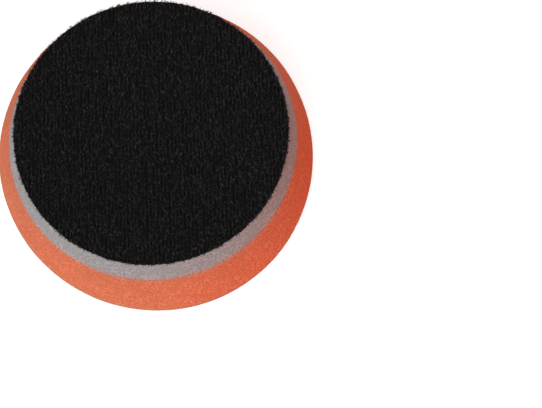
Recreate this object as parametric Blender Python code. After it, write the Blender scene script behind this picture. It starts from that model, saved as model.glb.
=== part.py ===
"""A two-foam polishing pad, in metres, +Z up.

The pad lies on its polishing face. The origin is the centre of that face, and +Z points at the loops.
It is a bonded stack of round layers, listed here from the bottom up:

    polishing_foam      thick working foam, with a rounded edge at its face
    foam_bond_film      glue line between the two foams
    interface_foam      thinner cushion foam, on the same tapered wall
    loop_adhesive_film  glue line under the fabric
    loop_ground_cloth   knitted ground of the loop fabric
    loop_pile           brushed loops that a hook-faced backing plate grips

The wall is one straight taper that starts tangent to the face's rounded edge and ends at the interface
foam's top rim. Every layer keeps a small gap to the next, and the glue lines stop short of the wall.
"""

import math

import bmesh
import bpy

# Radii
FACE_RADIUS = 0.0750
BACK_RADIUS = 0.0620
FACE_EDGE_RADIUS = 0.0035
LOOP_OVERHANG = 0.0007
GROUND_SETBACK = 0.0001
GLUE_SETBACK = 0.0006
PILE_EDGE_RADIUS = 0.0004

# Thickness of each layer
POLISHING_FOAM_THICKNESS = 0.0256
GLUE_THICKNESS = 0.0002
INTERFACE_FOAM_THICKNESS = 0.0122
GROUND_CLOTH_THICKNESS = 0.0005
PILE_THICKNESS = 0.0011
LAYER_GAP = 0.00025

# Height where each layer starts
FOAM_BOND_BASE = POLISHING_FOAM_THICKNESS + LAYER_GAP
INTERFACE_FOAM_BASE = FOAM_BOND_BASE + GLUE_THICKNESS + LAYER_GAP
INTERFACE_FOAM_TOP = INTERFACE_FOAM_BASE + INTERFACE_FOAM_THICKNESS
LOOP_ADHESIVE_BASE = INTERFACE_FOAM_TOP + LAYER_GAP
GROUND_CLOTH_BASE = LOOP_ADHESIVE_BASE + GLUE_THICKNESS + LAYER_GAP
PILE_BASE = GROUND_CLOTH_BASE + GROUND_CLOTH_THICKNESS + LAYER_GAP

# Facets
TURN_STEPS = 120
FACE_EDGE_STEPS = 9
PILE_EDGE_STEPS = 3
SHARP_EDGE = math.radians(40)

# Linear colour and roughness of each material
ORANGE_FOAM = ((0.75, 0.17, 0.07), 0.95)
GREY_FOAM = ((0.35, 0.33, 0.33), 0.95)
CURED_GLUE = ((0.62, 0.50, 0.30), 0.5)
BLACK_CLOTH = ((0.012, 0.011, 0.011), 0.9)
BLACK_LOOPS = ((0.010, 0.009, 0.009), 1.0)


def wall_lean():
    """Angle between the tapered wall and the pad's axis, in radians.

    The wall is the tangent from the interface foam's top rim to the circle that rounds the face's edge.
    """
    across = BACK_RADIUS - (FACE_RADIUS - FACE_EDGE_RADIUS)
    up = INTERFACE_FOAM_TOP - FACE_EDGE_RADIUS
    return math.atan2(up, across) - math.acos(FACE_EDGE_RADIUS / math.hypot(across, up))


def wall_radius(height):
    """Radius of the tapered wall at a height above the polishing face."""
    lean = wall_lean()
    rise = (height - FACE_EDGE_RADIUS) * math.sin(lean)
    return FACE_RADIUS - FACE_EDGE_RADIUS + (FACE_EDGE_RADIUS - rise) / math.cos(lean)


def arc(centre, radius, start, end, steps):
    """Points (radius from the axis, height) along an arc, with its angles in radians from the +X side."""
    points = []
    for step in range(steps + 1):
        angle = start + (end - start) * step / steps
        points.append((centre[0] + radius * math.cos(angle), centre[1] + radius * math.sin(angle)))
    return points


def plain_wall(radius, base, thickness):
    """Outer side of a flat disc."""
    return [(radius, base), (radius, base + thickness)]


def polishing_foam_wall():
    """Outer side of the working foam: the rounded face edge, then the taper."""
    centre = (FACE_RADIUS - FACE_EDGE_RADIUS, FACE_EDGE_RADIUS)
    edge = arc(centre, FACE_EDGE_RADIUS, -math.pi / 2, wall_lean(), FACE_EDGE_STEPS)
    return edge + [(wall_radius(POLISHING_FOAM_THICKNESS), POLISHING_FOAM_THICKNESS)]


def interface_foam_wall():
    """Outer side of the cushion foam, in line with the working foam's taper."""
    return [
        (wall_radius(INTERFACE_FOAM_BASE), INTERFACE_FOAM_BASE),
        (BACK_RADIUS, INTERFACE_FOAM_TOP),
    ]


def loop_pile_wall():
    """Outer side of the brushed loops, whose top edge is slightly rounded over."""
    radius = BACK_RADIUS + LOOP_OVERHANG
    top = PILE_BASE + PILE_THICKNESS
    centre = (radius - PILE_EDGE_RADIUS, top - PILE_EDGE_RADIUS)
    return [(radius, PILE_BASE)] + arc(centre, PILE_EDGE_RADIUS, 0, math.pi / 2, PILE_EDGE_STEPS)


def glue_radius(base):
    """Radius of a glue line, which stops short of the wall beside it."""
    return wall_radius(base) - GLUE_SETBACK


def paint(name, finish):
    """A plain material for one sub-part, from its colour and roughness."""
    colour, roughness = finish
    material = bpy.data.materials.new(name)
    material.use_nodes = True
    shader = material.node_tree.nodes["Principled BSDF"]
    shader.inputs["Base Color"].default_value = (*colour, 1.0)
    shader.inputs["Roughness"].default_value = roughness
    shader.inputs["Metallic"].default_value = 0.0
    return material


def turned(name, wall, finish, parent):
    """A closed round solid from its outer side, listed bottom to top, with a flat face at each end."""
    bm = bmesh.new()
    points = [bm.verts.new((radius, 0.0, height)) for radius, height in wall]
    edges = [bm.edges.new(pair) for pair in zip(points, points[1:])]
    bmesh.ops.spin(
        bm,
        geom=points + edges,
        cent=(0.0, 0.0, 0.0),
        axis=(0.0, 0.0, 1.0),
        angle=2 * math.pi,
        steps=TURN_STEPS,
        use_merge=True,
    )
    rims = [edge for edge in bm.edges if edge.is_boundary]
    bmesh.ops.holes_fill(bm, edges=rims, sides=0)
    bmesh.ops.recalc_face_normals(bm, faces=bm.faces)
    mesh = bpy.data.meshes.new(name)
    bm.to_mesh(mesh)
    bm.free()
    mesh.shade_smooth()
    mesh.set_sharp_from_angle(angle=SHARP_EDGE)
    mesh.materials.append(paint(name, finish))
    piece = bpy.data.objects.new(name, mesh)
    piece.parent = parent
    bpy.context.scene.collection.objects.link(piece)
    return piece


def build():
    for old in list(bpy.data.objects):
        bpy.data.objects.remove(old)

    # The face foam rests on the panel. Pressing moves the backing towards it, along the pad's axis.
    face_foam = bpy.data.objects.new("face_foam", None)
    backing = bpy.data.objects.new("backing", None)
    backing.parent = face_foam
    bpy.context.scene.collection.objects.link(face_foam)
    bpy.context.scene.collection.objects.link(backing)

    foam_bond = plain_wall(glue_radius(FOAM_BOND_BASE), FOAM_BOND_BASE, GLUE_THICKNESS)
    turned("polishing_foam", polishing_foam_wall(), ORANGE_FOAM, face_foam)
    turned("foam_bond_film", foam_bond, CURED_GLUE, face_foam)

    loop_bond = plain_wall(glue_radius(LOOP_ADHESIVE_BASE), LOOP_ADHESIVE_BASE, GLUE_THICKNESS)
    ground_radius = BACK_RADIUS + LOOP_OVERHANG - GROUND_SETBACK
    ground = plain_wall(ground_radius, GROUND_CLOTH_BASE, GROUND_CLOTH_THICKNESS)
    turned("interface_foam", interface_foam_wall(), GREY_FOAM, backing)
    turned("loop_adhesive_film", loop_bond, CURED_GLUE, backing)
    turned("loop_ground_cloth", ground, BLACK_CLOTH, backing)
    turned("loop_pile", loop_pile_wall(), BLACK_LOOPS, backing)


build()
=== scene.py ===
"""Looks for the two-foam polishing pad: cut foam, a brushed loop fabric, glue lines and studio light.

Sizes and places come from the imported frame. Each foam is a turned solid whose surface is then cut open,
cell by cell. The fabric is a knitted disc under thousands of short arched yarns.
"""

import math
from itertools import product

import bpy
import numpy as np
from mathutils import Matrix, Vector


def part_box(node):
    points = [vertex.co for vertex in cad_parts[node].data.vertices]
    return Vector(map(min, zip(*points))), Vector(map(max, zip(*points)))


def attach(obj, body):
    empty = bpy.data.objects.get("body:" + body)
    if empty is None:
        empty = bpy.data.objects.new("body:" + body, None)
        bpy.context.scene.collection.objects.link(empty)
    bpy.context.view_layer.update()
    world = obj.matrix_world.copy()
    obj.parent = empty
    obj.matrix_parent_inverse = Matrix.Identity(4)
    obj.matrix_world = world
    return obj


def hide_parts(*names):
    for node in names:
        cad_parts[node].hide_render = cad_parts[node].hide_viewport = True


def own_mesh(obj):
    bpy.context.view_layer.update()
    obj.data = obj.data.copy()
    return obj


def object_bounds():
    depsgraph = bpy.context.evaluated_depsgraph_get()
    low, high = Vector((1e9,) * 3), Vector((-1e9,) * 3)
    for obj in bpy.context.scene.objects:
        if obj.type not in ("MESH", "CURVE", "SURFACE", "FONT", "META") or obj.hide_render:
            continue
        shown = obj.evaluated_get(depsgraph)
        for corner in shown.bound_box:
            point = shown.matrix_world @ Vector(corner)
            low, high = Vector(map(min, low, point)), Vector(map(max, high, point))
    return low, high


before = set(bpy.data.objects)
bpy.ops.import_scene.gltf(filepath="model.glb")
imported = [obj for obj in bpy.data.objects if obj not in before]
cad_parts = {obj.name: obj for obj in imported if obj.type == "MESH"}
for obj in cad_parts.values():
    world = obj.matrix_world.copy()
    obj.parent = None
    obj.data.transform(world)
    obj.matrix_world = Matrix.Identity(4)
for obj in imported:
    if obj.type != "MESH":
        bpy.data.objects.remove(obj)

MM = 0.001
CAD_BOX = [list(corner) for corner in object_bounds()]

# Mesh attributes that the materials read
REST_PLACE = "rest_place"
YARN_SHADE = "yarn_shade"

# Which of a Mix node's sockets are for colours. Their names are those of its sockets for numbers too.
MIX_SHARE = 0
MIX_FIRST = 6
MIX_SECOND = 7
MIX_RESULT = 2

# Repeatable noise: the numbers that scatter it, and a seed for each use
SCATTER = np.array([[127.1, 311.7, 74.7], [269.5, 183.3, 246.1], [113.5, 271.9, 124.6]])
SCATTER_SCALE = 43758.5453
ORANGE_SEED = 1.0
GREY_SEED = 2.0
DEPTH_SEED = 3.0
GLUE_SEED = 4.0
WAVE_SEED = 5.0
COURSE_SEED = 6.0
FRAY_SEED = 7.0
SEAM_SEED = 8.0
FINE_SEAM_SEED = 9.0
WANDER_SEED = 10.0
YARN_SEED = 7

# Foam surface: each cell that the knife opened is a pit
CELL_SIZE = 1.15 * MM
CELL_DEPTH = 0.34 * MM
CELL_RIM = 0.06
CELL_FLOOR = 0.60
SHALLOW_CELL = 0.45
CUT_WAVE = 0.12 * MM
CUT_WAVE_PITCH = 14 * MM
FACE_EDGE_RADIUS = 3.5 * MM
FACE_RINGS = 130
WALL_STEP = 0.55 * MM
INTERFACE_COLUMNS = 900
INTERFACE_STEP = 0.42 * MM
RIM_DEPTH = 0.1 * MM

# The face's rim is out of round: lobes round it, size, and the angle of a low spot
FACE_LOBES = [(1, 0.35 * MM, math.radians(70)), (2, 1.00 * MM, math.radians(20)),
              (3, 0.20 * MM, math.radians(-5))]

# Seam: the foams' lips meet over the glue line, and the line between them wanders
SEAM_GAP = 0.03 * MM
LIP_WIDTH = 0.45 * MM
LIP_SLOPE = 0.05 * MM
SEAM_WAVE = 0.30 * MM
SEAM_WAVE_PITCH = 4 * MM
FINE_SEAM_PITCH = 1 * MM
FINE_SEAM_SHARE = 0.3
SEAM_WAVE_REACH = 2.5 * MM

# Glue lines
GLUE_RINGS = 60
GLUE_INSET = 0.05 * MM
GLUE_WANDER = 0.0015
GLUE_WANDER_PITCH = 3 * MM

# Ground of the loop fabric
WALE_PITCH = 1.7 * MM
WALE_HEIGHT = 0.10 * MM
RIB_MEAN = 0.6
RIB_SWING = 0.4
COURSE_SWING = 0.3
COURSE_PITCH = 0.8 * MM
COURSE_STRETCH = [1, 2, 1]
CLOTH_RINGS = 130
CLOTH_TUCK = 0.02 * MM
CLOTH_LAP = 0.2 * MM
CLOTH_LAP_SLOPE = 0.05 * MM
CLOTH_FRAY = 0.30 * MM
CLOTH_FRAY_PITCH = 1.5 * MM
CLOTH_FRAY_BAND = (1.0 * MM, 0.1 * MM)

# Yarns of the pile, each a few filaments side by side
YARN_PIECES = 9
YARNS_PER_PIECE = 2500
YARN_INSET = 0.2 * MM
YARN_ROOT = 0.15 * MM
YARN_OVERHANG = 0.1 * MM
YARN_WIDTH = 0.26 * MM
YARN_LENGTH = (0.6 * MM, 1.4 * MM)
YARN_HEIGHT = (0.20 * MM, 1.15 * MM)
YARN_SPREAD = math.radians(14)
BACKWARD_YARNS = 0.35
WALE_SPREAD = 0.40 * MM
WALE_WANDER = 0.8 * MM
WALE_WANDER_PITCH = 2.2 * MM
WALE_WANDER_STRIDE = 7
FILAMENTS = 3
FILAMENT_SECTIONS = 5
FILAMENT_SIDES = 3
FILAMENT_THICKNESS = (0.11 * MM, 0.17 * MM)
FILAMENT_TIP = 0.5
FILAMENT_SCATTER = 0.12
FILAMENT_TURN = 0.06
FILAMENT_SLIP = 0.15 * MM
FILAMENT_LENGTHS = (0.8, 1.1)
FILAMENT_HEIGHTS = (0.75, 1.0)

# Fringe of yarns that stand out from the cut rim
FRINGE_YARNS = 1400
FRINGE_INSET = (0.1 * MM, 0.8 * MM)
FRINGE_DROP = 0.6 * MM
FRINGE_TOP = 0.5 * MM
FRINGE_SPREAD = 0.5
FRINGE_LENGTH = (0.4 * MM, 1.3 * MM)
FRINGE_ARCH = (0.0, 0.4 * MM)
FRINGE_SHADE = (0.0, 0.7)
FRINGE_SAG = 0.5 * MM

# Foam colours, linear: pit in painted shade, strut, and the painted sheen seen at a grazing angle
ORANGE_PIT_SHADE = (0.412, 0.0735, 0.0281)
ORANGE_STRUT = (0.758, 0.217, 0.103)
ORANGE_GRAZING_SHEEN = (0.90, 0.27, 0.17)
GREY_PIT_SHADE = (0.141, 0.1365, 0.140)
GREY_STRUT = (0.375, 0.3660, 0.374)
GREY_GRAZING_SHEEN = (0.59, 0.57, 0.57)

# Tones that multiply a foam's colour, each with its height above the face or above the seam
# At the face's rounded edge: painted shade where the edge turns under, and a pale painted highlight band
# above it
FACE_EDGE_SHADE_AND_HIGHLIGHT = [(0.0, (0.75, 0.80, 0.90)), (4.0 * MM, (0.89, 1.16, 1.34)), (7.0 * MM, (1.0, 1.0, 1.0))]
# Just below the seam the orange wall is a little darker than lower down, painted shade; at the seam it
# blends towards the grey
ORANGE_SEAM_BLEND_AND_SHADE = [(-3.5 * MM, (0.94, 0.93, 0.95)), (-1.8 * MM, (0.90, 0.98, 1.10)),
                     (-0.9 * MM, (0.86, 1.08, 1.40)), (0.0, (0.80, 1.24, 1.90))]
GREY_SEAM_TONES = [(0.0, (1.42, 0.88, 0.75)), (1.2 * MM, (1.20, 0.93, 0.86)),
                   (2.4 * MM, (1.06, 0.97, 0.95)), (4.0 * MM, (1.0, 1.0, 1.0))]
RAGGED_TONES = 2.5 * MM

# Foam texture. A range runs from the darkest or faintest value of a pattern to its lightest or clearest.
TEXTURE_CELL = 0.95 * MM
GRAIN_SIZE = 0.7 * MM
GRAIN_DETAIL = 3.0
GRAIN_SHARE = 0.35
RELIEF_RANGE = (0.24, 0.66)
PATCH_SIZE = 5 * MM
PATCH_DETAIL = 1.0
PATCH_RANGE = (0.35, 0.60)
FAINT_PATCH = 0.4
DRIFT_SIZE = 18 * MM
DRIFT_RANGE = (0.30, 0.70)
DRIFT_DARK = 0.93
GRAZING_SHEEN_REACH = 0.08
FOAM_BUMP = (0.45, 0.4 * MM)
FOAM_ROUGHNESS = (0.98, 0.82)
FOAM_SPECULAR = 0.15

# Yarn, knit and glue: linear colours with their places on a ramp, texture sizes, bumps and roughness
YARN_SHADES = [(0.0, (0.010, 0.0107, 0.0107)), (0.40, (0.032, 0.0350, 0.0354)),
               (0.80, (0.059, 0.0642, 0.065)), (1.0, (0.105, 0.114, 0.116))]
STREAK_SIZE = 0.5 * MM
STREAK_STRETCH = 0.3
STREAK_RANGE = (0.38, 0.58)
STREAK_DARK = 0.22
YARN_ROUGHNESS = (0.5, 0.8)
YARN_SPECULAR = 0.08
# The knit's darker stop is painted shade in the valleys between the ribs
KNIT_VALLEY_SHADE_RAMP = [(0.2, (0.003, 0.003, 0.003)), (0.8, (0.0078, 0.0081, 0.0083))]
KNIT_GRAIN_SIZE = 0.4 * MM
KNIT_BUMP = (0.6, 0.15 * MM)
KNIT_ROUGHNESS = 0.85
KNIT_SPECULAR = 0.06
GLUE_SHADES = [(0.35, (0.45, 0.33, 0.17)), (0.65, (0.70, 0.60, 0.42))]
GLUE_PATCH_SIZE = 5 * MM
GLUE_PATCH_DETAIL = 3.0
GLUE_ROUGHNESS = (0.25, 0.5)
GLUE_SPECULAR = 0.5

# Camera: angles in degrees, and the view's centre right of and below the pad's
VIEW_ELEVATION = 74.8
VIEW_ROLL = 2.3
VIEW_DISTANCE = 0.900
VIEW_RIGHT = 0.05416
VIEW_DOWN = 0.0230
LENS = 125.9

# Floor and light. The key light's width is in degrees.
FLOOR_HALF = 4.0
FLOOR_DROP = 0.1 * MM
FLOOR_ALBEDO = (0.45, 0.47, 0.47, 1.0)
FLOOR_BOUNCE = (0.55, 0.55, 0.55, 1.0)
FLOOR_GLOW = 0.70
WARM_BOUNCE = (0.70, 0.08, 0.02, 1.0)
WARM_BOUNCE_PLACE = (0.110, -0.072, 0.0)
WARM_BOUNCE_RADIUS = 0.095
WARM_BOUNCE_EDGE = 0.010
ROOM_LIGHT = (0.62, 0.62, 0.62, 1.0)
WARM_LIGHT = (0.84, 0.36, 0.28, 1.0)
WARM_FULL = 0.8
WHITE = (1.0, 1.0, 1.0, 1.0)
KEY_FROM = (-0.29, -0.60, 0.74)
KEY_STRENGTH = 0.62
KEY_COLOUR = (1.0, 0.995, 0.99)
KEY_WIDTH = 50

rng = np.random.default_rng(YARN_SEED)


# ----------------------------------------------------------------------------------------------- geometry


def new_piece(name, points, quads, triangles, body):
    """A mesh object from arrays of points and of corner numbers, riding on a CAD body.

    Each point keeps its place at rest as an attribute, so the materials don't slide when foam is squashed.
    """
    corners = np.concatenate([quads.ravel(), triangles.ravel()])
    sizes = np.concatenate([np.full(len(quads), 4), np.full(len(triangles), 3)])
    places = points.astype(np.float32).ravel()
    mesh = bpy.data.meshes.new(name)
    mesh.vertices.add(len(points))
    mesh.vertices.foreach_set("co", places)
    mesh.loops.add(len(corners))
    mesh.loops.foreach_set("vertex_index", corners.astype(np.int32))
    mesh.polygons.add(len(sizes))
    mesh.polygons.foreach_set("loop_start", (np.cumsum(sizes) - sizes).astype(np.int32))
    mesh.update(calc_edges=True)
    mesh.validate()
    mesh.shade_smooth()
    rest = mesh.attributes.new(REST_PLACE, "FLOAT_VECTOR", "POINT")
    rest.data.foreach_set("vector", places)
    piece = bpy.data.objects.new(name, mesh)
    bpy.context.scene.collection.objects.link(piece)
    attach(piece, body)
    return piece


def circle(count):
    """Points round a circle of radius 1."""
    angle = 2 * math.pi * np.arange(count) / count
    return np.stack([np.cos(angle), np.sin(angle)], axis=1)


def disc(rings):
    """A disc of radius 1, as rings of 6, 12, 18 ... points, with triangles of about one size."""
    points = [np.zeros((1, 2))]
    triangles = []
    inner_start = 0
    outer_start = 1
    for ring in range(1, rings + 1):
        count = 6 * ring
        points.append(circle(count) * ring / rings)
        inner_count = max(1, count - 6)
        for side in range(6):
            step = np.arange(ring)
            outer = side * ring + step
            inner = side * (ring - 1) + step
            out_a = outer_start + outer % count
            out_b = outer_start + (outer + 1) % count
            in_a = inner_start + inner % inner_count
            in_b = inner_start + (inner + 1) % inner_count
            triangles.append(np.stack([out_a, out_b, in_a], axis=1))
            triangles.append(np.stack([in_a, out_b, in_b], axis=1)[:-1])
        inner_start = outer_start
        outer_start += count
    return np.concatenate(points), np.concatenate(triangles)


def turned(wall, columns, face_rings=0):
    """A closed round solid from its outer side, a list of (radius, height) from bottom to top.

    The upper end is a fan, and so is the lower end, unless face_rings makes it a disc of that many rings.
    The disc needs six columns for each ring. Returns points, quads and triangles.
    """
    wall = np.array(wall)
    rows = len(wall)
    flat = wall[:, 0, None, None] * circle(columns)[None]
    height = np.broadcast_to(wall[:, 1, None, None], (rows, columns, 1))
    points = np.concatenate([flat, height], axis=2).reshape(-1, 3)
    row, column = np.meshgrid(np.arange(rows - 1), np.arange(columns), indexing="ij")
    after = (column + 1) % columns
    low = row * columns
    high = low + columns
    quads = np.stack([low + column, low + after, high + after, high + column], axis=2).reshape(-1, 4)
    around = np.arange(columns)
    following = (around + 1) % columns
    top = (rows - 1) * columns
    top_centre = len(points)
    points = np.concatenate([points, [[0.0, 0.0, wall[-1, 1]]]])
    top_fan = np.stack([top + around, top + following, np.full(columns, top_centre)], axis=1)
    if not face_rings:
        bottom_centre = len(points)
        points = np.concatenate([points, [[0.0, 0.0, wall[0, 1]]]])
        bottom = np.stack([following, around, np.full(columns, bottom_centre)], axis=1)
        return points, quads, np.concatenate([top_fan, bottom])
    face, face_triangles = disc(face_rings)
    inside = len(face) - columns
    number = np.concatenate([len(points) + np.arange(inside), around])
    face_points = np.column_stack([face[:inside] * wall[0, 0], np.full(inside, wall[0, 1])])
    bottom = number[face_triangles][:, ::-1]
    return np.concatenate([points, face_points]), quads, np.concatenate([top_fan, bottom])


def outward(wall, columns):
    """The outward direction of each point of a turned wall."""
    run = np.gradient(np.array(wall), axis=0)
    run /= np.linalg.norm(run, axis=1)[:, None]
    flat = run[:, 1, None, None] * circle(columns)[None]
    up = np.broadcast_to(-run[:, 0, None, None], (len(wall), columns, 1))
    return np.concatenate([flat, up], axis=2).reshape(-1, 3)


def along(start, end, step):
    """Points from start to end, no further apart than step, without the end."""
    start = np.array(start)
    end = np.array(end)
    count = max(1, math.ceil(np.linalg.norm(end - start) / step))
    return [tuple(start + (end - start) * i / count) for i in range(count)]


def tubes(spine, thickness, side):
    """Closed tubes along spines, thickest at their middles. Returns points, quads and triangles."""
    count, sections = spine.shape[:2]
    up = np.array([0.0, 0.0, 1.0])
    swell = FILAMENT_TIP + (1 - FILAMENT_TIP) * np.sin(math.pi * np.linspace(0, 1, sections))
    reach = (thickness[:, None] / 2 * swell)[:, :, None]
    rings = []
    for corner in range(FILAMENT_SIDES):
        angle = 2 * math.pi * corner / FILAMENT_SIDES + math.pi / 2
        rings.append(spine + reach * (side[:, None] * math.cos(angle) + up * math.sin(angle)))
    points = np.stack(rings, axis=2).reshape(-1, 3)
    first = (np.arange(count) * sections * FILAMENT_SIDES)[:, None, None]
    section = (np.arange(sections - 1) * FILAMENT_SIDES)[None, :, None]
    corner = np.arange(FILAMENT_SIDES)[None, None, :]
    after = (corner + 1) % FILAMENT_SIDES
    low = first + section
    high = low + FILAMENT_SIDES
    quads = np.stack([low + corner, high + corner, high + after, low + after], axis=3).reshape(-1, 4)
    begin = first[:, 0] + np.arange(FILAMENT_SIDES)[None]
    end = begin + (sections - 1) * FILAMENT_SIDES
    return points, quads, np.concatenate([begin, end[:, ::-1]])


# -------------------------------------------------------------------------------------------------- noise


def hashed(cells, seed):
    """Three repeatable numbers from 0 to 1 for each cell of a grid."""
    return np.modf(np.abs(np.sin(cells @ SCATTER.T + seed) * SCATTER_SCALE))[0]


def cell_openness(points, size, seed):
    """How far each point is from the wall between two random cells, as a share of the cells' size."""
    place = points / size
    home = np.floor(place)
    nearest = np.full(len(points), np.inf)
    second = np.full(len(points), np.inf)
    for offset in product((-1, 0, 1), repeat=3):
        cell = home + offset
        distance = np.linalg.norm(place - cell - hashed(cell, seed), axis=1)
        second = np.minimum(second, np.maximum(distance, nearest))
        nearest = np.minimum(nearest, distance)
    return second - nearest


def eased(share):
    """A share from 0 to 1, bent so that it starts and ends gently."""
    return share * share * (3 - 2 * share)


def smooth_noise(points, size, seed):
    """Smooth noise from -1 to 1 that changes over about size."""
    place = points / size
    home = np.floor(place)
    part = eased(place - home)
    total = np.zeros(len(points))
    for offset in product((0, 1), repeat=3):
        corner = np.array(offset)
        weight = np.prod(np.where(corner, part, 1 - part), axis=1)
        total += weight * hashed(home + corner, seed)[:, 0]
    return 2 * total - 1


def smooth_step(value, low, high):
    """0 up to low, 1 from high on, and a smooth rise between them."""
    return eased(np.clip((value - low) / (high - low), 0, 1))


# -------------------------------------------------------------------------------------------- pad's shape


def taper():
    """The pad's wall, from the frame: the centre of its face's rounded edge, its lean, and its top rim."""
    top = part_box("interface_foam")[1].z
    foam_points = [vertex.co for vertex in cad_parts["interface_foam"].data.vertices]
    back_radius = max(math.hypot(point.x, point.y) for point in foam_points if point.z > top - RIM_DEPTH)
    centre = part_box("polishing_foam")[1].x - FACE_EDGE_RADIUS
    across = back_radius - centre
    up = top - FACE_EDGE_RADIUS
    lean = math.atan2(up, across) - math.acos(FACE_EDGE_RADIUS / math.hypot(across, up))
    return centre, lean, back_radius, top


EDGE_CENTRE, WALL_LEAN, BACK_RADIUS, FOAM_TOP = taper()
GLUE_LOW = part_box("foam_bond_film")[0].z
GLUE_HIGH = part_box("foam_bond_film")[1].z
SEAM = (GLUE_LOW + GLUE_HIGH) / 2


def wall_radius(height):
    """Radius of the tapered wall at a height."""
    rise = (height - FACE_EDGE_RADIUS) * math.sin(WALL_LEAN)
    return EDGE_CENTRE + (FACE_EDGE_RADIUS - rise) / math.cos(WALL_LEAN)


def edge_point(angle):
    """A point (radius, height) of the face's rounded edge."""
    across = EDGE_CENTRE + FACE_EDGE_RADIUS * math.cos(angle)
    return across, FACE_EDGE_RADIUS + FACE_EDGE_RADIUS * math.sin(angle)


def cut_open(points, normals, seed):
    """The points of a cut foam surface: each cell that the knife opened is a pit, and the cut waves."""
    open_cell = smooth_step(cell_openness(points, CELL_SIZE, seed), CELL_RIM, CELL_FLOOR)
    fine = 0.5 + 0.5 * smooth_noise(points, CELL_SIZE / 2, seed + DEPTH_SEED)
    depth = CELL_DEPTH * open_cell * (SHALLOW_CELL + (1 - SHALLOW_CELL) * fine)
    wave = CUT_WAVE * (smooth_noise(points, CUT_WAVE_PITCH, seed + WAVE_SEED) - 1)
    return points + normals * (wave - depth)[:, None]


def out_of_round(points):
    """The points with the face end pushed slightly out of round, as the grinding of soft foam leaves it."""
    angle = np.arctan2(points[:, 1], points[:, 0])
    reach = sum(-size * np.cos(order * (angle - turn)) for order, size, turn in FACE_LOBES)
    share = np.clip(1 - points[:, 2] / SEAM, 0, 1)
    moved = points.copy()
    moved[:, :2] *= (1 + share * reach / wall_radius(FACE_EDGE_RADIUS))[:, None]
    return moved


def seam_wave(points):
    """The points with the line where the two foams meet wandering up and down, the same way for both."""
    flat = points * [1, 1, 0]
    coarse = smooth_noise(flat, SEAM_WAVE_PITCH, SEAM_SEED)
    fine = smooth_noise(flat, FINE_SEAM_PITCH, FINE_SEAM_SEED)
    rise = (1 - FINE_SEAM_SHARE) * coarse + FINE_SEAM_SHARE * fine
    share = 1 - smooth_step(np.abs(points[:, 2] - SEAM), 0, SEAM_WAVE_REACH)
    on_wall = np.hypot(points[:, 0], points[:, 1]) > wall_radius(SEAM) - LIP_WIDTH - LIP_SLOPE / 2
    moved = points.copy()
    moved[:, 2] += SEAM_WAVE * rise * share * on_wall
    return moved


# --------------------------------------------------------------------------------------------- the layers


def polishing_foam():
    """Orange working foam: a rounded edge at the face, the taper, and a lip that hides the glue line."""
    turn = math.pi / 2 + WALL_LEAN
    steps = math.ceil(turn * FACE_EDGE_RADIUS / WALL_STEP)
    rim = SEAM - SEAM_GAP
    wall = [edge_point(turn * step / steps - math.pi / 2) for step in range(steps)]
    wall += along(edge_point(WALL_LEAN), (wall_radius(rim), rim), WALL_STEP)
    wall.append((wall_radius(rim), rim))
    cut_rows = len(wall)
    inner = wall_radius(rim) - LIP_WIDTH
    wall.append((inner, rim))
    wall.append((inner - LIP_SLOPE, GLUE_LOW - SEAM_GAP))
    columns = 6 * FACE_RINGS
    points, quads, triangles = turned(wall, columns, FACE_RINGS)
    cut = slice(cut_rows * columns)
    points[cut] = cut_open(points[cut], outward(wall[:cut_rows], columns), ORANGE_SEED)
    face = slice(len(wall) * columns + 1, len(points))
    points[face] = cut_open(points[face], np.array([[0.0, 0.0, -1.0]]), ORANGE_SEED)
    points = out_of_round(seam_wave(points))
    piece = new_piece("polishing_foam_body", points, quads, triangles, "face_foam")
    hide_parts("polishing_foam")
    return piece


def interface_foam():
    """Grey cushion foam, on the same taper, with a lip over the glue line between the foams."""
    rim = SEAM + SEAM_GAP
    inner = wall_radius(rim) - LIP_WIDTH
    wall = [(inner - LIP_SLOPE, GLUE_HIGH + SEAM_GAP), (inner, rim)]
    cut_from = len(wall)
    wall += along((wall_radius(rim), rim), (BACK_RADIUS, FOAM_TOP), INTERFACE_STEP)
    wall.append((BACK_RADIUS, FOAM_TOP))
    points, quads, triangles = turned(wall, INTERFACE_COLUMNS)
    cut = slice(cut_from * INTERFACE_COLUMNS, len(wall) * INTERFACE_COLUMNS)
    points[cut] = cut_open(points[cut], outward(wall[cut_from:], INTERFACE_COLUMNS), GREY_SEED)
    piece = new_piece("interface_foam_body", seam_wave(points), quads, triangles, "backing")
    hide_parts("interface_foam")
    return piece


def glue_film(node, name, body):
    """A cured glue line: a thin disc whose edge wanders a little."""
    low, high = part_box(node)
    edge = high.x - GLUE_INSET
    points, quads, triangles = turned([(edge, low.z), (edge, high.z)], 6 * GLUE_RINGS, GLUE_RINGS)
    reach = 1 + GLUE_WANDER * smooth_noise(points, GLUE_WANDER_PITCH, GLUE_SEED)
    points[:, :2] *= reach[:, None]
    piece = new_piece(name, points, quads, triangles, body)
    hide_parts(node)
    return piece


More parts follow.
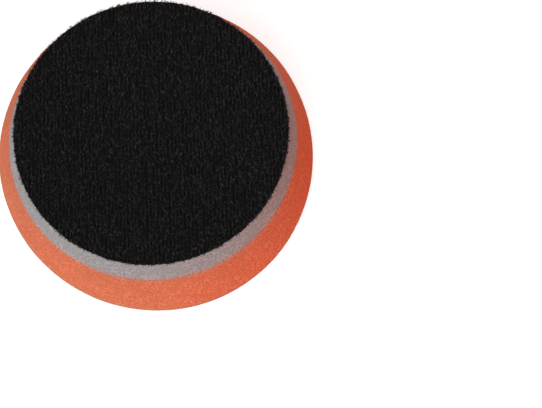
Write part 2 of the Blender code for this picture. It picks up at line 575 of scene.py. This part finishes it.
def ground_cloth():
    """Knitted ground of the loop fabric: ribs along Y, and an edge that laps down over the glue line.

    It is turned from top to bottom, so that its ribbed side is the disc, and its faces are then turned over.
    """
    low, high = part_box("loop_ground_cloth")
    glue_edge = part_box("loop_adhesive_film")[1]
    radius = high.x
    lap = FOAM_TOP + 2 * SEAM_GAP
    lap_edge = glue_edge.x + CLOTH_LAP
    wall = [(radius, high.z), (radius, low.z), (radius - CLOTH_TUCK, lap), (lap_edge, lap),
            (lap_edge - CLOTH_LAP_SLOPE, glue_edge.z + SEAM_GAP)]
    points, quads, triangles = turned(wall, 6 * CLOTH_RINGS, CLOTH_RINGS)
    upper = points[:, 2] > (low.z + high.z) / 2
    rib = np.cos(2 * math.pi * points[:, 0] / WALE_PITCH)
    course = smooth_noise(points * COURSE_STRETCH, COURSE_PITCH, COURSE_SEED)
    sunk = WALE_HEIGHT * (RIB_MEAN - RIB_SWING * rib - COURSE_SWING * course)
    points[upper, 2] -= sunk[upper]
    reach = np.hypot(points[:, 0], points[:, 1])
    inside, rim = CLOTH_FRAY_BAND
    at_rim = smooth_step(reach, radius - inside, radius - rim)
    fray = 1 + CLOTH_FRAY / radius * at_rim * smooth_noise(points, CLOTH_FRAY_PITCH, FRAY_SEED)
    points[:, :2] *= fray[:, None]
    piece = new_piece("loop_ground_knit", points, quads[:, ::-1], triangles[:, ::-1], "backing")
    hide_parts("loop_ground_cloth")
    return piece


def yarns(name, start, heading, length, height, shade, sag=0.0):
    """A piece of yarns: each is a few filaments that arch side by side from its start along its heading."""
    count = len(start) * FILAMENTS
    start, heading, length, height, shade = (
        np.repeat(value, FILAMENTS, axis=0) for value in (start, heading, length, height, shade))
    across = np.tile(np.linspace(-0.5, 0.5, FILAMENTS), count // FILAMENTS)
    across = across + rng.normal(0, FILAMENT_SCATTER, count)
    heading = heading + rng.normal(0, FILAMENT_TURN, count)
    forward = np.stack([np.cos(heading), np.sin(heading), np.zeros(count)], axis=1)
    side = np.stack([-forward[:, 1], forward[:, 0], np.zeros(count)], axis=1)
    start = start + side * (YARN_WIDTH * across)[:, None]
    start = start + forward * rng.normal(0, FILAMENT_SLIP, count)[:, None]
    length = length * rng.uniform(*FILAMENT_LENGTHS, count)
    height = height * rng.uniform(*FILAMENT_HEIGHTS, count)
    thickness = rng.uniform(*FILAMENT_THICKNESS, count)
    share = np.linspace(0, 1, FILAMENT_SECTIONS)
    spine = start[:, None] + forward[:, None] * (length[:, None] * share)[:, :, None]
    spine[:, :, 2] += height[:, None] * np.sin(math.pi * share) - sag * share ** 2
    points, quads, triangles = tubes(spine, thickness, side)
    piece = new_piece(name, points, quads, triangles, "backing")
    tone = piece.data.attributes.new(YARN_SHADE, "FLOAT", "POINT")
    tone.data.foreach_set("value", np.repeat(shade, FILAMENT_SECTIONS * FILAMENT_SIDES).astype(np.float32))
    return piece


def combed_yarns(name, radius, root):
    """Yarns all over the fabric, gathered on wandering wales and combed along Y, some of them backwards."""
    count = YARNS_PER_PIECE
    reach = (radius - YARN_INSET) * np.sqrt(rng.uniform(0, 1, count))
    turn = rng.uniform(0, 2 * math.pi, count)
    wale = np.round(reach * np.cos(turn) / WALE_PITCH) * WALE_PITCH
    course = reach * np.sin(turn)
    path = np.stack([WALE_WANDER_STRIDE * wale, course, np.zeros(count)], axis=1)
    wander = WALE_WANDER * smooth_noise(path, WALE_WANDER_PITCH, WANDER_SEED)
    across = wale + wander + rng.normal(0, WALE_SPREAD, count)
    start = np.stack([across, course, np.full(count, root)], axis=1)
    outside = np.hypot(start[:, 0], start[:, 1]) / (radius - YARN_INSET)
    start[:, :2] /= np.maximum(outside, 1)[:, None]
    heading = math.pi / 2 + rng.normal(0, YARN_SPREAD, count)
    heading += math.pi * (rng.uniform(0, 1, count) < BACKWARD_YARNS)
    length = rng.uniform(*YARN_LENGTH, count)
    end = start[:, :2] + np.stack([np.cos(heading), np.sin(heading)], axis=1) * length[:, None]
    heading[np.linalg.norm(end, axis=1) > radius + YARN_OVERHANG] += math.pi
    height = rng.uniform(*YARN_HEIGHT, count)
    shade = rng.uniform(0, 1, count)
    return yarns(name, start, heading, length, height, shade)


def fringe_yarns(name, radius, lowest, highest):
    """Yarns that stand out all round the fabric's cut rim and sag a little."""
    count = FRINGE_YARNS
    turn = rng.uniform(0, 2 * math.pi, count)
    reach = radius - rng.uniform(*FRINGE_INSET, count)
    root = rng.uniform(lowest, highest, count)
    start = np.stack([reach * np.cos(turn), reach * np.sin(turn), root], axis=1)
    heading = turn + rng.normal(0, FRINGE_SPREAD, count)
    length = rng.uniform(*FRINGE_LENGTH, count)
    arch = rng.uniform(*FRINGE_ARCH, count)
    shade = rng.uniform(*FRINGE_SHADE, count)
    return yarns(name, start, heading, length, arch, shade, FRINGE_SAG)


def loop_pile():
    """Brushed loops: short arches of yarn all over the fabric, and a fringe at its cut rim."""
    low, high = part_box("loop_pile")
    radius = high.x
    pieces = []
    for number in range(1, YARN_PIECES + 1):
        pieces.append(combed_yarns(f"loop_pile_{number}", radius, low.z - YARN_ROOT))
    pieces.append(fringe_yarns("loop_pile_fringe", radius, low.z - FRINGE_DROP, high.z - FRINGE_TOP))
    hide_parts("loop_pile")
    return pieces


# ---------------------------------------------------------------------------------------------- materials


def new_material(name, specular):
    """A material and its shader."""
    material = bpy.data.materials.new(name)
    material.use_nodes = True
    shader = material.node_tree.nodes["Principled BSDF"]
    shader.inputs["Specular IOR Level"].default_value = specular
    return material, shader


def feed(material, socket, value):
    """Feed an input from another node's output, or set it to a value."""
    if isinstance(value, bpy.types.NodeSocket):
        material.node_tree.links.new(value, socket)
    else:
        socket.default_value = value


def add(material, kind, **inputs):
    """A node of a kind, in a material or a world, with its inputs set to values or fed from other nodes."""
    node = material.node_tree.nodes.new(kind)
    for name, value in inputs.items():
        feed(material, node.inputs[name.replace("_", " ")], value)
    return node


def worked_out(material, kind, operation, *values):
    """The number that a Math or Vector Math node works out."""
    node = add(material, kind)
    node.operation = operation
    for socket, value in zip(node.inputs, values):
        feed(material, socket, value)
    return node.outputs["Value"]


def blended(material, share, first, second, mode="MIX"):
    """Two colours mixed by a share."""
    node = add(material, "ShaderNodeMix")
    node.data_type = "RGBA"
    node.blend_type = mode
    feed(material, node.inputs[MIX_SHARE], share)
    feed(material, node.inputs[MIX_FIRST], first)
    feed(material, node.inputs[MIX_SECOND], second)
    return node.outputs[MIX_RESULT]


def colours(material, value, stops):
    """A colour ramp over a value, with stops of (position, colour)."""
    ramp = add(material, "ShaderNodeValToRGB", Fac=value)
    while len(ramp.color_ramp.elements) < len(stops):
        ramp.color_ramp.elements.new(1.0)
    for element, (position, colour) in zip(ramp.color_ramp.elements, stops):
        element.position = position
        element.color = (*colour, 1.0)
    return ramp.outputs["Color"]


def shading(material, value, span, dark):
    """A grey over a value: dark up to the start of a range, and white from its end on."""
    start, end = span
    return colours(material, value, [(start, (dark,) * 3), (end, (1.0,) * 3)])


def spread(material, value, span=(0, 1), result=(0, 1)):
    """A value mapped from one range to another."""
    return add(material, "ShaderNodeMapRange", Value=value, From_Min=span[0], From_Max=span[1],
               To_Min=result[0], To_Max=result[1]).outputs["Result"]


def noise(material, spot, size, detail=2.0):
    """Noise whose patches are about size across."""
    return add(material, "ShaderNodeTexNoise", Vector=spot, Scale=1 / size, Detail=detail).outputs["Fac"]


def attribute(material, name, output):
    """One of a mesh attribute's outputs, "Fac" or "Vector"."""
    node = add(material, "ShaderNodeAttribute")
    node.attribute_name = name
    return node.outputs[output]


def place(material, stretch=(1, 1, 1)):
    """Where a point is at rest, stretched along each axis."""
    at_rest = attribute(material, REST_PLACE, "Vector")
    return add(material, "ShaderNodeMapping", Vector=at_rest, Scale=stretch).outputs["Vector"]


def bumpy(material, height, strength, distance):
    """A surface direction that follows a height."""
    bump = add(material, "ShaderNodeBump", Strength=strength, Distance=distance, Height=height)
    return bump.outputs["Normal"]


def dress(material, shader, **inputs):
    """Feed a shader's inputs."""
    for name, value in inputs.items():
        feed(material, shader.inputs[name.replace("_", " ")], value)


def height_tone(material, spot, grain, tones):
    """A tone that changes with height, with a ragged border. The tones are stops of (height, colour)."""
    level = add(material, "ShaderNodeSeparateXYZ", Vector=spot).outputs["Z"]
    ragged = worked_out(material, "ShaderNodeMath", "MULTIPLY_ADD", grain, RAGGED_TONES, level)
    top = CAD_BOX[1][2]
    share = spread(material, ragged, (RAGGED_TONES / 2, top + RAGGED_TONES / 2))
    return colours(material, share, [(height / top, tone) for height, tone in tones])


def foam_material(name, pit, strut, grazing_sheen, tones):
    """Cut open-cell foam: pits in painted shade, lighter struts, a tone that changes with height, painted
    sheen at rims.
    """
    material, shader = new_material(name, FOAM_SPECULAR)
    spot = place(material)
    cells = add(material, "ShaderNodeTexVoronoi", Vector=spot, Scale=1 / TEXTURE_CELL).outputs["Distance"]
    grain = noise(material, spot, GRAIN_SIZE, GRAIN_DETAIL)
    relief = add(material, "ShaderNodeMix", Factor=GRAIN_SHARE, A=cells, B=grain).outputs["Result"]
    # The pits' darker, deeper colour is painted shade in the open cells
    texture = colours(material, relief, list(zip(RELIEF_RANGE, (pit, strut))))
    patches = noise(material, spot, PATCH_SIZE, PATCH_DETAIL)
    clear = spread(material, patches, PATCH_RANGE, (FAINT_PATCH, 1.0))
    average = tuple((low + high) / 2 for low, high in zip(pit, strut))
    base = blended(material, clear, (*average, 1.0), texture)
    drift = shading(material, noise(material, spot, DRIFT_SIZE), DRIFT_RANGE, DRIFT_DARK)
    base = blended(material, 1.0, base, drift, "MULTIPLY")
    # For the orange foam the height tone paints shade and a pale highlight at the face's edge, and shade
    # below the seam
    base = blended(material, 1.0, base, height_tone(material, spot, grain, tones), "MULTIPLY")
    # Painted sheen: the colour turns paler where the surface is seen at a grazing angle
    facing = add(material, "ShaderNodeLayerWeight", Blend=GRAZING_SHEEN_REACH).outputs["Facing"]
    dress(material, shader,
          Base_Color=blended(material, facing, base, (*grazing_sheen, 1.0)),
          Roughness=spread(material, relief, result=FOAM_ROUGHNESS),
          Normal=bumpy(material, relief, *FOAM_BUMP))
    return material


def yarn_material():
    """Black polyester yarn, each yarn its own shade, with darker streaks along the nap."""
    material, shader = new_material("black_loop_yarn", YARN_SPECULAR)
    streak = noise(material, place(material, (1, STREAK_STRETCH, 1)), STREAK_SIZE)
    shade = colours(material, attribute(material, YARN_SHADE, "Fac"), YARN_SHADES)
    tone = shading(material, streak, STREAK_RANGE, STREAK_DARK)
    dress(material, shader,
          Base_Color=blended(material, 1.0, shade, tone, "MULTIPLY"),
          Roughness=spread(material, streak, result=YARN_ROUGHNESS))
    return material


def knit_material():
    """Black warp-knitted ground: ribs along Y with painted shade in the valley between them.

    The bands of a wave texture are pi / 10 of its scale's unit apart.
    """
    material, shader = new_material("black_ground_knit", KNIT_SPECULAR)
    spot = place(material)
    rib = add(material, "ShaderNodeTexWave", Vector=spot, Scale=math.pi / 10 / WALE_PITCH, Distortion=1.0,
              Phase_Offset=math.pi).outputs["Fac"]
    grain = noise(material, spot, KNIT_GRAIN_SIZE)
    dress(material, shader,
          Base_Color=colours(material, rib, KNIT_VALLEY_SHADE_RAMP),
          Roughness=KNIT_ROUGHNESS,
          Normal=bumpy(material, grain, *KNIT_BUMP))
    return material


def glue_material():
    """Cured glue: clear amber with milky patches."""
    material, shader = new_material("cured_glue", GLUE_SPECULAR)
    patches = noise(material, place(material), GLUE_PATCH_SIZE, GLUE_PATCH_DETAIL)
    dress(material, shader,
          Base_Color=colours(material, patches, GLUE_SHADES),
          Roughness=spread(material, patches, result=GLUE_ROUGHNESS))
    return material


def floor_material():
    """White paper that the camera sees brighter than the pad does, so that its bounce stays soft.

    It bounces orange light at one side, as a second pad there would. The camera sees it white there too.
    """
    material, shader = new_material("white_floor", 0.0)
    seen = add(material, "ShaderNodeLightPath").outputs["Is Camera Ray"]
    spot = add(material, "ShaderNodeTexCoord").outputs["Object"]
    away = worked_out(material, "ShaderNodeVectorMath", "DISTANCE", spot, WARM_BOUNCE_PLACE)
    border = (WARM_BOUNCE_RADIUS + WARM_BOUNCE_EDGE, WARM_BOUNCE_RADIUS - WARM_BOUNCE_EDGE)
    bounce = blended(material, spread(material, away, border), FLOOR_BOUNCE, WARM_BOUNCE)
    dress(material, shader,
          Base_Color=blended(material, seen, bounce, FLOOR_ALBEDO),
          Roughness=1.0,
          Emission_Color=WHITE,
          Emission_Strength=worked_out(material, "ShaderNodeMath", "MULTIPLY", seen, FLOOR_GLOW))
    return material


def wear(material, *pieces):
    """Give pieces a material."""
    for piece in pieces:
        piece.data.materials.clear()
        piece.data.materials.append(material)


# -------------------------------------------------------------------------------------------------- stage


def floor():
    """A large plain square just under the pad."""
    sides = ((-1, -1), (1, -1), (1, 1), (-1, 1))
    corners = [(x * FLOOR_HALF, y * FLOOR_HALF, -FLOOR_DROP) for x, y in sides]
    mesh = bpy.data.meshes.new("floor")
    mesh.from_pydata(corners, [], [(0, 1, 2, 3)])
    plane = bpy.data.objects.new("floor", mesh)
    bpy.context.scene.collection.objects.link(plane)
    wear(floor_material(), plane)


def key_light():
    """A wide, soft light from the near left, even over the whole floor."""
    light = bpy.data.lights.new("key", "SUN")
    light.energy = KEY_STRENGTH * math.pi
    light.color = KEY_COLOUR
    light.angle = math.radians(KEY_WIDTH)
    lamp = bpy.data.objects.new("key", light)
    lamp.rotation_euler = (-Vector(KEY_FROM)).to_track_quat("-Z", "Y").to_euler()
    bpy.context.scene.collection.objects.link(lamp)


def room():
    """A pale room, warmer at +X, that the camera sees as white."""
    world = bpy.data.worlds.new("studio")
    bpy.context.scene.world = world
    world.use_nodes = True
    direction = add(world, "ShaderNodeTexCoord").outputs["Generated"]
    sideways = add(world, "ShaderNodeSeparateXYZ", Vector=direction).outputs["X"]
    light = blended(world, spread(world, sideways, (0, WARM_FULL)), ROOM_LIGHT, WARM_LIGHT)
    seen = add(world, "ShaderNodeLightPath").outputs["Is Camera Ray"]
    feed(world, world.node_tree.nodes["Background"].inputs["Color"], blended(world, seen, light, WHITE))
    # The plain view, which shows white as white
    bpy.context.scene.view_settings.view_transform = "Standard"


def camera():
    """The view from above the near side, with the pad left of and above the picture's centre."""
    elevation = math.radians(VIEW_ELEVATION)
    roll = math.radians(VIEW_ROLL)
    forward = Vector((0, math.cos(elevation), -math.sin(elevation)))
    level = Vector((1, 0, 0))
    upright = level.cross(forward)
    right = level * math.cos(roll) - upright * math.sin(roll)
    up = upright * math.cos(roll) + level * math.sin(roll)
    spot = right * VIEW_RIGHT - up * VIEW_DOWN - forward * VIEW_DISTANCE
    lens = bpy.data.cameras.new("camera")
    lens.lens = LENS
    eye = bpy.data.objects.new("camera", lens)
    turn = Matrix((right, up, -forward)).transposed()
    eye.matrix_world = Matrix.Translation(spot) @ turn.to_4x4()
    bpy.context.scene.collection.objects.link(eye)
    bpy.context.scene.camera = eye


# -------------------------------------------------------------------------------------------------- build


def tones_at_seam(tones):
    """Tones with their heights above the seam turned into heights above the face."""
    return [(SEAM + height, tone) for height, tone in tones]


orange_foam = polishing_foam()
foam_glue = glue_film("foam_bond_film", "foam_bond_layer", "face_foam")
grey_foam = interface_foam()
loop_glue = glue_film("loop_adhesive_film", "loop_adhesive_layer", "backing")
cloth = ground_cloth()
pile = loop_pile()

# The orange tones hold painted shade and a painted highlight at the face's edge, and painted shade below the
# seam
orange_tones_with_painted_light = FACE_EDGE_SHADE_AND_HIGHLIGHT + tones_at_seam(ORANGE_SEAM_BLEND_AND_SHADE)
grey_tones = tones_at_seam(GREY_SEAM_TONES)
wear(foam_material("orange_foam", ORANGE_PIT_SHADE, ORANGE_STRUT, ORANGE_GRAZING_SHEEN, orange_tones_with_painted_light), orange_foam)
wear(foam_material("grey_foam", GREY_PIT_SHADE, GREY_STRUT, GREY_GRAZING_SHEEN, grey_tones), grey_foam)
wear(glue_material(), foam_glue, loop_glue)
wear(yarn_material(), *pile)
wear(knit_material(), cloth)

# The two foams and the glue between them each get a mesh of their own.
for piece, fixed in ((orange_foam, 0), (foam_glue, 0), (grey_foam, FOAM_TOP)):
    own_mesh(piece)

floor()
key_light()
room()
camera()
